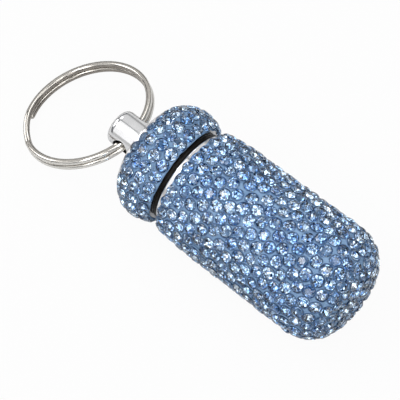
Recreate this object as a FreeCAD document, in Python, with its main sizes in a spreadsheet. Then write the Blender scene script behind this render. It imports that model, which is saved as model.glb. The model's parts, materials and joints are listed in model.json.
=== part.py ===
"""Crystal-set pill fob keychain, lying on its side: a turned metal vial with a screw cap, a rubber
seal in the seam, a split ring through the cap's stem, and faceted stones set on a skin of blue clay.

The row frame has +X along the capsule towards its base, +Z up and the floor at Z = 0. Turned pieces
are drawn in the capsule's own frame: height runs along the axis, is 0 at the vial's mouth, grows
towards the base and is negative in the cap. The capsule's own +X faces the floor."""

import FreeCAD
import Part
import Sketcher
import math
import os
from types import SimpleNamespace

SIZES = (
    # name, value in mm or a plain count or angle, meaning
    ("vial_radius", 10.4, "outside of the metal vial"),
    ("vial_wall", 1.65, "wall of the vial"),
    ("vial_length", 42.0, "mouth to outside of the base"),
    ("vial_corner", 6.3, "rounding where the wall meets the base"),
    ("vial_floor", 1.6, "thickness of the base"),
    ("lip_length", 1.25, "bare metal between the mouth and the clay"),
    ("lip_round", 0.3, "rounding of the mouth's outer edge"),
    ("thread_pitch", 1.5, "axial advance in one turn"),
    ("thread_depth", 0.6, "depth of the groove in the vial"),
    ("thread_runout", 0.7, "groove in the vial past the plug's end"),
    ("thread_clearance", 0.2, "radial room between plug and vial"),
    ("flank_clearance", 0.15, "axial room on each flank of the thread"),
    ("flank_slope", 0.577, "axial run of a flank for each mm of depth"),
    ("plug_length", 5.5, "mouth to the plug's end"),
    ("plug_wall", 1.55, "wall of the hollow plug"),
    ("ridge_start", 1.4, "mouth to the middle of the ridge's first turn"),
    ("ridge_end", 1.1, "middle of the ridge's last turn to the plug's end"),
    ("seam_gap", 1.35, "mouth to the cap's flange, filled by the seal"),
    ("seal_clearance", 0.02, "room at each flat of the squeezed seal"),
    ("seal_fit", 0.05, "radial room between the seal and the plug"),
    ("seal_inset", 0.15, "seal back from the vial's outside"),
    ("seal_bulge", 0.283, "how far the squeezed seal's round sides stand out"),
    ("flange_overhang", 0.5, "flange past the vial's outside"),
    ("flange_thickness", 0.3, "thickness of the flange"),
    ("core_inset", 0.8, "cap's side above its flange, back from the vial's outside"),
    ("cap_height", 9.5, "flange face to the rim of the dome"),
    ("cap_roof", 1.5, "metal between the cap's hollow and its rim"),
    ("dome_height", 1.5, "rim to the foot of the stem"),
    ("dome_radius", 14.0, "curve of the dome in section"),
    ("stem_radius", 3.85, "outside of the stem"),
    ("stem_round", 1.5, "rounding of the stem's end"),
    ("stem_foot", 0.6, "hollow rounding where the stem meets the dome"),
    ("hole_foot", 0.95, "foot of the stem to the cross hole"),
    ("hole_radius", 1.9, "cross hole for the split ring"),
    ("hole_wall", 2.2, "metal between the cross hole and the stem's end"),
    ("ring_radius", 14.3, "outside of the split ring"),
    ("wire_width", 1.3, "radial width of the ring's flat wire"),
    ("wire_height", 1.0, "axial height of the ring's flat wire"),
    ("wire_round", 0.3, "rounding of the wire's corners"),
    ("coil_gap", 0.43, "room between the ring's two turns"),
    ("jog_start", 32.0, "degrees from the ring's far point to the step between turns"),
    ("jog_angle", 56.0, "degrees that the step between turns takes"),
    ("end_angle", 3.0, "degrees between a wire end and the step"),
    ("ring_lift", 0.02, "room between the resting ring and the floor"),
    ("bond_gap", 0.03, "bond line under the clay and, from its pocket, under each stone"),
    ("clay_mouth", 1.2, "clay on the vial's side at the mouth"),
    ("neck_flare", 0.55, "how much thicker the clay is at the end of its narrower neck"),
    ("side_flare", 0.27, "how much thicker again at the base"),
    ("clay_base", 1.2, "clay on the vial's base"),
    ("neck_length", 6.35, "clay's narrower neck, from the lip"),
    ("clay_shoulder", 0.7, "rounding of the clay at the mouth"),
    ("clay_corner", 7.5, "rounding of the clay at the base"),
    ("roll_radius", 6.1, "section radius of the cap's roll of clay"),
    ("roll_height", 3.7, "flange face to the middle of the roll"),
    ("stone_radius", 1.2, "girdle of a stone, to its corners"),
    ("stone_table", 0.68, "flat top of a stone, to its corners"),
    ("stone_crown", 0.55, "height of a stone above the clay"),
    ("stone_back", 0.85, "depth of a stone's pointed back, and of its pocket in the clay"),
    ("stone_gap", 0.53, "least room between the flats of two stones in a row"),
    ("row_gap", 0.08, "least room between the flats of two rows"),
)
STONE_SIDES = 8
# The two ends of a line or an arc, as a sketch counts them
OTHER_END = {1: 2, 2: 1}

doc = FreeCAD.newDocument("pill_fob")


class Size:
    """A number together with the spreadsheet expression that gives it."""

    def __init__(self, value, text):
        self.value = value
        self.text = text

    def joined(self, other, sign, value):
        return Size(value, f"({self.text} {sign} {other.text})")

    def __add__(self, other):
        return self.joined(other, "+", self.value + other.value)

    def __sub__(self, other):
        return self.joined(other, "-", self.value - other.value)

    def __mul__(self, other):
        return self.joined(other, "*", self.value * other.value)

    def __truediv__(self, other):
        return self.joined(other, "/", self.value / other.value)

    def __neg__(self):
        return ZERO - self

    def root(self):
        return Size(math.sqrt(self.value), f"sqrt({self.text})")


def write_sheet():
    """Puts the driving sizes in a spreadsheet and returns them by name."""
    sheet = doc.addObject("Spreadsheet::Sheet", "Sizes")
    for row, (name, value, meaning) in enumerate(SIZES, start=1):
        sheet.set(f"A{row}", meaning)
        sheet.set(f"B{row}", str(value))
        sheet.setAlias(f"B{row}", name)
    doc.recompute()
    return SimpleNamespace(
        **{name: Size(float(getattr(sheet, name)), f"Sizes.{name}") for name, _, _ in SIZES}
    )


ZERO = Size(0.0, "0")
TWO = Size(2.0, "2")
S = write_sheet()

# Radii and heights that several pieces share
bore_radius = S.vial_radius - S.vial_wall
neck_radius = bore_radius - S.thread_clearance
core_radius = S.vial_radius - S.core_inset
seal_radius = neck_radius + S.seal_fit
flange_face = -S.seam_gap
flange_back = flange_face - S.flange_thickness
rim_height = flange_face - S.cap_height
dome_top = rim_height - S.dome_height
hole_height = dome_top - S.hole_foot - S.hole_radius
stem_end = hole_height - S.hole_radius - S.hole_wall
clay_mouth_radius = S.vial_radius + S.clay_mouth
clay_neck_radius = clay_mouth_radius + S.neck_flare
clay_end_radius = clay_neck_radius + S.side_flare
clay_base_height = S.vial_length + S.clay_base
shoulder_height = S.lip_length + S.clay_shoulder
neck_height = S.lip_length + S.neck_length
corner_height = clay_base_height - S.clay_corner
roll_height = flange_face - S.roll_height
roll_centre = clay_end_radius - S.roll_radius
stone_height = S.bond_gap + S.stone_crown
axis_height = clay_end_radius + stone_height

# The split ring hangs from the cross hole and rests on the floor at its far point
ring_height = TWO * S.wire_height + S.coil_gap
wire_circle = S.ring_radius - S.wire_width / TWO
hole_sag = S.stem_radius * S.stem_radius / (TWO * wire_circle)
ring_pivot = wire_circle - hole_sag / TWO
ring_reach = ring_pivot + S.ring_radius
ring_drop = axis_height - S.ring_lift
ring_span = ring_reach * ring_reach + ring_height * ring_height / (TWO * TWO)
ring_rest = (ring_span - ring_drop * ring_drop).root()
tilt_sine = (ring_reach * ring_drop - ring_height / TWO * ring_rest) / ring_span
tilt_cosine = (ring_height / TWO * ring_drop + ring_reach * ring_rest) / ring_span

# The origin lies under the middle of the whole length, from the ring's far edge to the base stones
ring_end = hole_height - ring_reach * tilt_cosine - ring_height / TWO * tilt_sine
base_end = clay_base_height + stone_height
mouth_x = -(ring_end + base_end) / TWO

ALONG_X = FreeCAD.Rotation(FreeCAD.Vector(0, 1, 0), 90)


def lay_down(piece):
    """Turns a piece from the capsule's own frame to lie along X on the floor."""
    piece.Placement = FreeCAD.Placement(FreeCAD.Vector(0, 0, 0), ALONG_X)
    piece.setExpression("Placement.Base.x", mouth_x.text)
    piece.setExpression("Placement.Base.z", axis_height.text)


def new_body(label):
    body = doc.addObject("PartDesign::Body", label)
    lay_down(body)
    return body


def origin_plane(body, role):
    return next(f for f in body.Origin.OriginFeatures if f.Role == role)


def new_sketch(body, name):
    """A sketch on the plane through the capsule's axis: its x is the radius, its y the height."""
    sketch = body.newObject("Sketcher::SketchObject", name)
    sketch.AttachmentSupport = [(origin_plane(body, "XZ_Plane"), "")]
    sketch.MapMode = "FlatFace"
    return sketch


def arc_between(start, end, radius):
    """The shorter arc from start to end. A positive radius turns left on the way, a negative one right."""
    chord = end - start
    side = FreeCAD.Vector(-chord.y, chord.x, 0).normalize()
    rise = math.sqrt(radius * radius - chord.Length ** 2 / 4)
    centre = start + chord * 0.5 + side * math.copysign(rise, radius)
    first, last = (start, end) if radius > 0 else (end, start)
    angles = [math.atan2(p.y - centre.y, p.x - centre.x) for p in (first, last)]
    if angles[1] < angles[0]:
        angles[1] += 2 * math.pi
    circle = Part.Circle(centre, FreeCAD.Vector(0, 0, 1), abs(radius))
    return Part.ArcOfCircle(circle, *angles)


def bind(sketch, name, text, *constraint):
    index = sketch.addConstraint(Sketcher.Constraint(*constraint))
    sketch.renameConstraint(index, name)
    sketch.setExpression(f"Constraints.{name}", text)


def draw_outline(sketch, outline):
    """Draws a closed outline. Each corner is (radius, height) or (radius, height, arc), where arc is
    the signed radius of the round stretch from that corner to the next."""
    corners = [FreeCAD.Vector(c[0].value, c[1].value, 0) for c in outline]
    starts = []
    for i, corner in enumerate(outline):
        here = corners[i]
        there = corners[(i + 1) % len(corners)]
        if len(corner) == 3:
            sketch.addGeometry(arc_between(here, there, corner[2].value))
            starts.append(1 if corner[2].value > 0 else 2)
        else:
            sketch.addGeometry(Part.LineSegment(here, there))
            starts.append(1)
    for i, corner in enumerate(outline):
        follower = (i + 1) % len(outline)
        joint = ("Coincident", i, OTHER_END[starts[i]], follower, starts[follower])
        sketch.addConstraint(Sketcher.Constraint(*joint))
        place = (-1, 1, i, starts[i])
        bind(sketch, f"radius{i}", corner[0].text, "DistanceX", *place, corner[0].value)
        bind(sketch, f"height{i}", corner[1].text, "DistanceY", *place, corner[1].value)
        if len(corner) == 3:
            size = corner[2] if corner[2].value > 0 else -corner[2]
            bind(sketch, f"arc{i}", size.text, "Radius", i, size.value)


def turn(body, outline):
    """Turns an outline about the capsule's axis."""
    sketch = new_sketch(body, f"{body.Label}_outline")
    draw_outline(sketch, outline)
    turned = body.newObject("PartDesign::Revolution", f"{body.Label}_turned")
    turned.Profile = sketch
    turned.ReferenceAxis = (sketch, ["V_Axis"])
    turned.Angle = 360
    sketch.Visibility = False
    doc.recompute()


def cut_or_add_helix(body, kind, outline, length):
    """Sweeps an outline along a right-hand helix of the thread's pitch, towards the base."""
    sketch = new_sketch(body, f"{body.Label}_thread_outline")
    draw_outline(sketch, outline)
    doc.recompute()
    helix = body.newObject(f"PartDesign::{kind}", f"{body.Label}_thread")
    helix.Profile = sketch
    helix.ReferenceAxis = (sketch, ["V_Axis"])
    helix.Mode = "pitch-height-angle"
    helix.setExpression("Pitch", S.thread_pitch.text)
    helix.setExpression("Height", length.text)
    helix.LeftHanded = False
    helix.Reversed = False
    sketch.Visibility = False
    doc.recompute()


def flank_outline(inner, outer, middle, half_at_bore, narrowing):
    """A thread's four-sided section about the height middle. Half its width is half_at_bore at the
    vial's bore, and shrinks outwards by narrowing for each mm."""
    half_inner = half_at_bore + (bore_radius - inner) * narrowing
    half_outer = half_at_bore + (bore_radius - outer) * narrowing
    return [
        (inner, middle - half_inner),
        (outer, middle - half_outer),
        (outer, middle + half_outer),
        (inner, middle + half_inner),
    ]


def make_vial():
    body = new_body("vial")
    floor_height = S.vial_length - S.vial_floor
    bore_corner = S.vial_corner - S.vial_wall
    turn(body, [
        (bore_radius, ZERO),
        (S.vial_radius - S.lip_round, ZERO, S.lip_round),
        (S.vial_radius, S.lip_round),
        (S.vial_radius, S.vial_length - S.vial_corner, S.vial_corner),
        (S.vial_radius - S.vial_corner, S.vial_length),
        (ZERO, S.vial_length),
        (ZERO, floor_height),
        (bore_radius - bore_corner, floor_height, -bore_corner),
        (bore_radius, floor_height - bore_corner),
    ])
    # The groove starts one turn outside the mouth, in step with the plug's ridge
    start = S.ridge_start - TWO * S.thread_pitch
    half = S.thread_pitch / TWO / TWO + S.thread_depth / TWO * S.flank_slope
    groove = flank_outline(
        bore_radius - S.thread_clearance / TWO,
        bore_radius + S.thread_depth,
        start,
        half,
        S.flank_slope,
    )
    cut_or_add_helix(body, "SubtractiveHelix", groove, S.plug_length + S.thread_runout - start)
    return body


def make_cap_shell():
    body = new_body("cap_shell")
    hollow_radius = neck_radius - S.plug_wall
    turn(body, [
        (ZERO, stem_end),
        (S.stem_radius - S.stem_round, stem_end, S.stem_round),
        (S.stem_radius, stem_end + S.stem_round),
        (S.stem_radius, dome_top - S.stem_foot, -S.stem_foot),
        (S.stem_radius + S.stem_foot, dome_top, S.dome_radius),
        (core_radius, rim_height),
        (core_radius, flange_back),
        (S.vial_radius + S.flange_overhang, flange_back),
        (S.vial_radius + S.flange_overhang, flange_face),
        (neck_radius, flange_face),
        (neck_radius, S.plug_length),
        (hollow_radius, S.plug_length),
        (hollow_radius, rim_height + S.cap_roof),
        (ZERO, rim_height + S.cap_roof),
    ])
    # The ridge keeps flank_clearance from each side of the vial's groove
    half = S.thread_pitch / TWO / TWO + S.thread_depth / TWO * S.flank_slope
    ridge = flank_outline(
        neck_radius - S.thread_clearance / TWO,
        bore_radius + S.thread_depth - S.thread_clearance,
        S.ridge_start,
        half - S.flank_clearance,
        S.flank_slope,
    )
    cut_or_add_helix(body, "AdditiveHelix", ridge, S.plug_length - S.ridge_start - S.ridge_end)

    hole = new_sketch(body, "cross_hole_outline")
    centre = FreeCAD.Vector(0, hole_height.value, 0)
    hole.addGeometry(Part.Circle(centre, FreeCAD.Vector(0, 0, 1), S.hole_radius.value))
    hole.addConstraint(Sketcher.Constraint("PointOnObject", 0, 3, -2))
    bind(hole, "height", hole_height.text, "DistanceY", -1, 1, 0, 3, hole_height.value)
    bind(hole, "radius", S.hole_radius.text, "Radius", 0, S.hole_radius.value)
    drilled = body.newObject("PartDesign::Pocket", "cross_hole")
    drilled.Profile = hole
    drilled.Type = "ThroughAll"
    drilled.Midplane = True
    hole.Visibility = False
    doc.recompute()
    return body


def make_seal():
    """The O-ring, squeezed between the mouth and the flange."""
    body = new_body("seal_ring")
    low = flange_face + S.seal_clearance
    high = -S.seal_clearance
    half = (high - low) / TWO
    curve = (half * half + S.seal_bulge * S.seal_bulge) / (TWO * S.seal_bulge)
    outer = S.vial_radius - S.seal_inset - S.seal_bulge
    turn(body, [
        (seal_radius + S.seal_bulge, low),
        (outer, low, curve),
        (outer, high),
        (seal_radius + S.seal_bulge, high, curve),
    ])
    return body


def make_body_clay():
    """The clay on the vial before the stones are pressed in."""
    body = new_body("body_clay_blank")
    inner = S.vial_radius + S.bond_gap
    inner_corner = S.vial_corner + S.bond_gap
    inner_base = S.vial_length + S.bond_gap
    turn(body, [
        (inner, S.lip_length),
        (clay_mouth_radius - S.clay_shoulder, S.lip_length, S.clay_shoulder),
        (clay_mouth_radius, shoulder_height),
        (clay_neck_radius, neck_height),
        (clay_end_radius, corner_height, S.clay_corner),
        (clay_end_radius - S.clay_corner, clay_base_height),
        (ZERO, clay_base_height),
        (ZERO, inner_base),
        (S.vial_radius - S.vial_corner, inner_base, -inner_corner),
        (inner, S.vial_length - S.vial_corner),
    ])
    return body


def roll_end_heights():
    """Heights where the cap's roll of clay starts, at the flange, and ends, at the cap's core."""
    core = core_radius + S.bond_gap
    run = core - roll_centre
    top = roll_height - (S.roll_radius * S.roll_radius - run * run).root()
    return flange_back - S.bond_gap, top


def make_cap_clay():
    """The clay on the cap before the stones are pressed in."""
    body = new_body("cap_clay_blank")
    core = core_radius + S.bond_gap
    low, top = roll_end_heights()
    rise = low - roll_height
    low_radius = roll_centre + (S.roll_radius * S.roll_radius - rise * rise).root()
    turn(body, [
        (core, top, S.roll_radius),
        (low_radius, low),
        (core, low),
    ])
    return body


def biarc(start, start_way, end, end_way):
    """Two arcs from start to end that meet smoothly and follow the two unit directions."""
    chord = end - start
    ways = start_way + end_way
    spread = 2 * (1 - start_way.dot(end_way))
    lead = (math.sqrt(chord.dot(ways) ** 2 + spread * chord.dot(chord)) - chord.dot(ways)) / spread
    meet = (start + end + (start_way - end_way) * lead) * 0.5
    arcs = []
    for a, way, b in ((start, start_way, meet), (end, end_way * -1, meet)):
        half = (b - a).normalize() + way
        run = (b - a).Length / 2 / (b - a).normalize().dot(half.normalize())
        arcs.append(Part.Arc(a, a + half.normalize() * run, b).toShape())
    return arcs


def wire_place(angle):
    """A point and a direction on the split ring's wire, at an angle from the ring's far point."""
    step = (S.wire_height.value + S.coil_gap.value) / 2
    jog_end = 360 + S.jog_start.value + S.jog_angle.value
    share = min(1, max(0, 1 - (jog_end - angle) / S.jog_angle.value))
    level = step * (1 - 2 * share * share * (3 - 2 * share))
    slope = -12 * step * share * (1 - share) / math.radians(S.jog_angle.value)
    turn_angle = math.radians(angle)
    radius = wire_circle.value
    point = FreeCAD.Vector(radius * math.cos(turn_angle), radius * math.sin(turn_angle), level)
    way = FreeCAD.Vector(-radius * math.sin(turn_angle), radius * math.cos(turn_angle), slope)
    return point, way.normalize()


def ring_angles():
    """The angles where the ring's arcs meet: quarter turns on the flat, quarters of the step."""
    jog_start = 360 + S.jog_start.value
    jog_end = jog_start + S.jog_angle.value
    first = jog_end - 360 + S.end_angle.value
    last = jog_start + 360 - S.end_angle.value
    stretches = ((first, jog_start), (jog_start, jog_end), (jog_end, last))
    angles = []
    for low, high in stretches:
        angles += [low + (high - low) * i / 4 for i in range(4)]
    return angles + [last]


def wire_section(point, way):
    """The flat wire's rounded outline, square to the wire at its start."""
    up = FreeCAD.Vector(0, 0, 1)
    out = FreeCAD.Vector(point.x, point.y, 0).normalize()
    half_width = S.wire_width.value / 2
    half_height = S.wire_height.value / 2
    soft = S.wire_round.value
    bend = soft * (1 - math.sqrt(0.5))
    edges = []
    last = None
    for side, rise in ((1, 1), (-1, 1), (-1, -1), (1, -1)):
        reach = (half_width * side, half_height * rise)
        on_side = (reach[0], reach[1] - soft * rise)
        on_flat = (reach[0] - soft * side, reach[1])
        middle = (reach[0] - bend * side, reach[1] - bend * rise)
        corner = [point + out * p[0] + up * p[1] for p in (on_side, middle, on_flat)]
        if side != rise:
            corner.reverse()
        if last:
            edges.append(Part.LineSegment(last, corner[0]).toShape())
        edges.append(Part.Arc(*corner).toShape())
        last = corner[2]
    edges.append(Part.LineSegment(last, edges[0].Vertexes[0].Point).toShape())
    return Part.Wire(edges)


def least_ring_gap():
    """The least room between the ring's two turns, measured on points of its wire."""
    angles = ring_angles()
    steps = int(angles[-1] - angles[0])
    points = [wire_place(angles[0] + i)[0] for i in range(steps + 1)]
    half_turn = 180
    near = min(
        abs(a.z - b.z)
        for i, a in enumerate(points)
        for b in points[i + half_turn:]
        if math.hypot(a.x - b.x, a.y - b.y) < S.wire_width.value
    )
    return near - S.wire_height.value


def make_split_ring():
    angles = ring_angles()
    edges = []
    for low, high in zip(angles, angles[1:]):
        first, second = biarc(*wire_place(low), *wire_place(high))
        edges += [first, second]
    path = Part.Wire(Part.sortEdges(edges)[0])
    solid = path.makePipeShell([wire_section(*wire_place(angles[0]))], True, False)
    expected = path.Length * Part.Face(wire_section(*wire_place(angles[0]))).Area
    print(f"split ring: least gap {least_ring_gap():.3f} mm, volume ratio {solid.Volume / expected:.4f}")
    ring = doc.addObject("Part::Feature", "split_ring")
    ring.Shape = solid
    tilt = math.degrees(math.atan2(tilt_sine.value, tilt_cosine.value))
    turned = FreeCAD.Rotation(FreeCAD.Vector(0, 1, 0), -tilt)
    turned = turned.multiply(FreeCAD.Rotation(FreeCAD.Vector(0, 0, 1), 180))
    pivot = FreeCAD.Vector(mouth_x.value + hole_height.value, 0, axis_height.value)
    outwards = turned.multVec(FreeCAD.Vector(1, 0, 0))
    ring.Placement = FreeCAD.Placement(pivot + outwards * ring_pivot.value, turned)
    return ring


def stone_ring(radius, height):
    """The corners of a stone's outline at a height. Its flats face along and across its row."""
    turns = [2 * math.pi * (i + 0.5) / STONE_SIDES for i in range(STONE_SIDES)]
    return [FreeCAD.Vector(radius * math.cos(a), radius * math.sin(a), height) for a in turns]


def faceted_solid(outlines):
    faces = [Part.Face(Part.makePolygon(o + o[:1])) for o in outlines]
    return Part.Solid(Part.Shell(faces))


def pointed_back(ring, depth):
    """The facets from a ring of corners down to a point."""
    point = FreeCAD.Vector(0, 0, -depth)
    return [[corner, follower, point] for corner, follower in zip(ring, ring[1:] + ring[:1])]


def make_stone():
    """One stone, its girdle just above the clay: a crown that narrows to a flat table, and a pointed
    back."""
    girdle = stone_ring(S.stone_radius.value, S.bond_gap.value)
    table = stone_ring(S.stone_table.value, stone_height.value)
    outlines = [table] + pointed_back(girdle, (S.stone_back - S.bond_gap).value)
    for i in range(STONE_SIDES):
        j = (i + 1) % STONE_SIDES
        outlines.append([girdle[i], girdle[j], table[j], table[i]])
    return faceted_solid(outlines)


def make_pocket():
    """The room that a stone's back takes in the clay, one bond line lower than the stone and wide
    enough to break through the clay's surface."""
    mouth = S.stone_radius * (S.stone_back + S.bond_gap) / S.stone_back
    ring = stone_ring(mouth.value, S.bond_gap.value)
    return faceted_solid([ring] + pointed_back(ring, S.stone_back.value))


def stone_width():
    """Room that a stone takes between its flats."""
    return 2 * S.stone_radius.value * math.cos(math.pi / STONE_SIDES)


def stones_round(radius):
    """How many stones have room in a row of that radius."""
    return max(1, int(2 * math.pi * radius / (stone_width() + S.stone_gap.value)))


def rows_along(run):
    """How many steps from row to row have room along a run of clay."""
    return int(run / (stone_width() + S.row_gap.value))


def copies_round(shape, count, radius, height, lean, shifted):
    """A ring of copies on the clay at that radius and height. Lean is the angle in degrees from
    straight outwards towards the base. A shifted ring starts half a stone further round."""
    outwards = FreeCAD.Rotation(FreeCAD.Vector(0, 1, 0), 90 - lean)
    seat = FreeCAD.Placement(FreeCAD.Vector(radius, 0, height), outwards)
    copies = []
    for i in range(count):
        share = (i + 0.5 * shifted) / count
        around = FreeCAD.Rotation(FreeCAD.Vector(0, 0, 1), 360 * share)
        place = FreeCAD.Placement(FreeCAD.Vector(0, 0, 0), around).multiply(seat)
        copies.append(shape.transformed(place.toMatrix(), True))
    return copies


def new_feature(label, copies):
    feature = doc.addObject("Part::Feature", label)
    feature.Shape = Part.makeCompound(copies)
    lay_down(feature)
    return feature


def side_seat(height):
    """The clay's radius on the vial's side at a height, and the lean of a stone there."""
    stretch = (clay_mouth_radius, shoulder_height, clay_neck_radius, neck_height)
    if height > neck_height.value:
        stretch = (clay_neck_radius, neck_height, clay_end_radius, corner_height)
    low_radius, low, high_radius, high = (size.value for size in stretch)
    slope = (high_radius - low_radius) / (high - low)
    return low_radius + slope * (height - low), height, -math.degrees(math.atan(slope))


def side_rows():
    """Rows on the vial's side, from the mouth's shoulder to the base's corner. Each row is its label
    and how its stones go round."""
    low = S.lip_length.value + S.stone_radius.value
    run = corner_height.value - low
    count = rows_along(run)
    stones = stones_round(clay_mouth_radius.value)
    rows = []
    for i in range(count + 1):
        seat = side_seat(low + run * i / count)
        rows.append((f"body_stones_{i + 1:02d}", stones, *seat, (count - i) % 2))
    return rows


def base_rows():
    """Rows round the base's corner and on its flat, numbered from the stone in the middle."""
    corner = S.clay_corner.value
    flat = clay_end_radius.value - corner
    bent = corner * math.pi / 2
    count = rows_along(bent + flat)
    rows = []
    for i in range(count):
        run = (bent + flat) * (i + 1) / count
        bend = min(run, bent) / corner
        radius = flat + corner * math.cos(bend) - max(0, run - bent)
        height = corner_height.value + corner * math.sin(bend)
        lean = math.degrees(bend)
        stones = stones_round(radius)
        rows.append((f"base_stones_{count - i}", stones, radius, height, lean, (i + 1) % 2))
    return rows


def cap_rows():
    """Rows on the cap's roll of clay, from the seam to the dome."""
    reach = S.roll_radius.value
    margin = stone_width() / 2 / reach
    low, top = roll_end_heights()
    first = math.asin((low - roll_height).value / reach) - margin
    last = -math.asin((roll_height - top).value / reach) + margin
    count = rows_along((first - last) * reach)
    rows = []
    for i in range(count + 1):
        bend = first + (last - first) * i / count
        radius = roll_centre.value + reach * math.cos(bend)
        height = roll_height.value + reach * math.sin(bend)
        lean = math.degrees(bend)
        stones = stones_round(radius)
        rows.append((f"cap_stones_{i + 1}", stones, radius, height, lean, (i + 1) % 2))
    return rows


def set_stones(label, clay, rows):
    """Presses the pockets of those rows into the clay and returns it with its rows of stones."""
    stone = make_stone()
    pocket = make_pocket()
    pockets = []
    pieces = []
    for name, *places in rows:
        pockets += copies_round(pocket, *places)
        pieces.append(new_feature(name, copies_round(stone, *places)))
    pressed = doc.addObject("Part::Cut", label)
    pressed.Base = clay
    pressed.Tool = new_feature(f"{label}_pockets", pockets)
    pressed.Refine = False
    return [pressed] + pieces


def make_pieces():
    pieces = [make_vial(), make_cap_shell(), make_seal(), make_split_ring()]
    pieces += set_stones("body_clay", make_body_clay(), side_rows() + base_rows())
    pieces += set_stones("cap_clay", make_cap_clay(), cap_rows())
    doc.recompute()
    return pieces


def check_pieces(pieces):
    """Stops the build if an object failed or a piece is not made of sound solids."""
    failed = [o.Name for o in doc.Objects if {"Invalid", "Error"} & set(o.State)]
    if failed:
        raise RuntimeError(f"these objects failed: {failed}")
    for piece in pieces:
        shape = piece.Shape
        if shape.isNull() or not shape.isValid() or not shape.Solids:
            raise RuntimeError(f"{piece.Label} is not a sound solid")


def write_pieces(pieces):
    os.makedirs("parts", exist_ok=True)
    for piece in pieces:
        piece.Shape.exportStep(f"parts/{piece.Label}.step")


def print_places(pieces):
    """Prints what the record states: the hole's axis, the ring's middle, the base and the turning range."""
    box = FreeCAD.BoundBox()
    for piece in pieces:
        box.add(piece.Shape.optimalBoundingBox(True, False))
    tilt = math.degrees(math.atan2(tilt_sine.value, tilt_cosine.value))
    print(f"box {box}")
    print(f"mouth x {mouth_x.value:.4f}, axis z {axis_height.value:.4f}")
    print(f"hole x {(mouth_x + hole_height).value:.4f}, base x {(mouth_x + base_end).value:.4f}")
    print(f"ring tilt {tilt:.4f}, pivot to middle {ring_pivot.value:.4f}")
    print(f"solids {sum(len(p.Shape.Solids) for p in pieces)} in {len(pieces)} pieces")


made = make_pieces()
check_pieces(made)
write_pieces(made)
print_places(made)
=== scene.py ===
"""Looks of the crystal-set pill fob keychain, lying on its side on a white table.

Metres, in the row frame: +X along the capsule towards its base, +Z up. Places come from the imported
frame. Every stone is cut as a small brilliant with a foiled back and pressed into the clay, close to its
seat in the frame; the clay rises in a collar round it. The split ring is wound anew, its coils closer
than the frame's."""

import json
import math

import bmesh
import bpy
import numpy as np
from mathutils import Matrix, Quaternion, Vector
from mathutils.bvhtree import BVHTree


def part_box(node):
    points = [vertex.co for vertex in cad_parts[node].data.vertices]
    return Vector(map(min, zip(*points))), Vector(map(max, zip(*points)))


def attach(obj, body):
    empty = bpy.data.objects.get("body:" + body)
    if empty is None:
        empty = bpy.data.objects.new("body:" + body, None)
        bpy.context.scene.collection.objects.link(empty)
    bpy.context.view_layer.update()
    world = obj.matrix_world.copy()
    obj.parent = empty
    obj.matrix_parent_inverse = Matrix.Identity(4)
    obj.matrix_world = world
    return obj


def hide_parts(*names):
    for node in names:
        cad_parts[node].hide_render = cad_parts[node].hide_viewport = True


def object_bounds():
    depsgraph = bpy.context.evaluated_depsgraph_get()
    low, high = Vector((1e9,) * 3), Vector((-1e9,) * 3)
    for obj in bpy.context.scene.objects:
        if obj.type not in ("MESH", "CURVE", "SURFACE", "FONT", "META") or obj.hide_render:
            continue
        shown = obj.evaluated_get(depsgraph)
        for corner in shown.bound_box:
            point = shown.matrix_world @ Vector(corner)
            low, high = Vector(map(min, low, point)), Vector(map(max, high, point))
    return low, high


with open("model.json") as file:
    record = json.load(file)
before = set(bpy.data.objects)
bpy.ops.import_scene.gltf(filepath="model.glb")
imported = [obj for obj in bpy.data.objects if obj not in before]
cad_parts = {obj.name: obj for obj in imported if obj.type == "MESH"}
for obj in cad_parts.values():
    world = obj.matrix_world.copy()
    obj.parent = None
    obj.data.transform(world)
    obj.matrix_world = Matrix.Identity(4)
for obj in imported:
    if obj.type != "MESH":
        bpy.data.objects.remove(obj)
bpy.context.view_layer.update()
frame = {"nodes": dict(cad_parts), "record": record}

MM = 0.001
SEED = 24
RANDOM = np.random.default_rng(SEED)

# Places and sizes from the frame
vial_low, vial_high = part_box("vial")
AXIS_Z = (vial_low.z + vial_high.z) / 2
VIAL_RADIUS = vial_high.z - AXIS_Z
FLANGE_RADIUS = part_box("cap_shell")[1].z - AXIS_Z
FLANGE_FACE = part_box("seal_ring")[0].x
BODY_ROWS = sorted(node for node in frame["nodes"] if node.startswith("body_stones_"))
BASE_ROWS = sorted(node for node in frame["nodes"] if node.startswith("base_stones_"))
CAP_ROWS = sorted(node for node in frame["nodes"] if node.startswith("cap_stones_"))
# Corners of a CAD mesh that lie closer than this are one
WELD = 0.001 * MM

# A stone's cut, in shares of its girdle's radius
GIRDLE_SIDES = 16
GIRDLE_EDGE = 0.05
TABLE_RADIUS = 0.56
KITE_RADIUS = 0.78
CROWN_SLOPE = math.tan(math.radians(33))
MIDDLE_RADIUS = 0.5
MIDDLE_DEPTH = 0.46
CULET_DEPTH = 0.86
# The spread of the cut's faults, below the girdle
CUT_SPREAD = 0.035
# A rim of the foil next to the girdle, as wide as this share of a facet, is darker by a factor: painted
# shade that draws a dark outline round each stone
RIM_WIDTH = 0.3
RIM_PAINTED_SHADE = 0.15

# A stone's size and its setting by hand. The spread of its size is a share of its radius.
GIRDLE_RADIUS = 1.28 * MM
CAP_GIRDLE = 1.37 * MM
GIRDLE_LIFT = 0.17 * MM
STONE_TILT = math.radians(4)
STONE_SPREAD = 0.035
STONE_SINK = 0.05 * MM
# How stones drift along the clay and settle, with the room that each needs in girdle radii. Rows at the
# clay's edge keep a closer limit along the axis.
STONE_DRIFT = 0.35 * MM
STONE_ROOM = 2.12
DRIFT_LIMIT = 0.6 * MM
EDGE_LIMIT = 0.15 * MM
SETTLE_ROUNDS = 24
SETTLE_PUSH = 0.5
# Keeps the push between two stones finite, however close they are
LEAST_REACH = 1 * MM
# The cap's first row sits this much nearer to the seam than its seats in the frame
SEAM_SHIFT = np.array((0.3, 0, 0)) * MM

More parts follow.
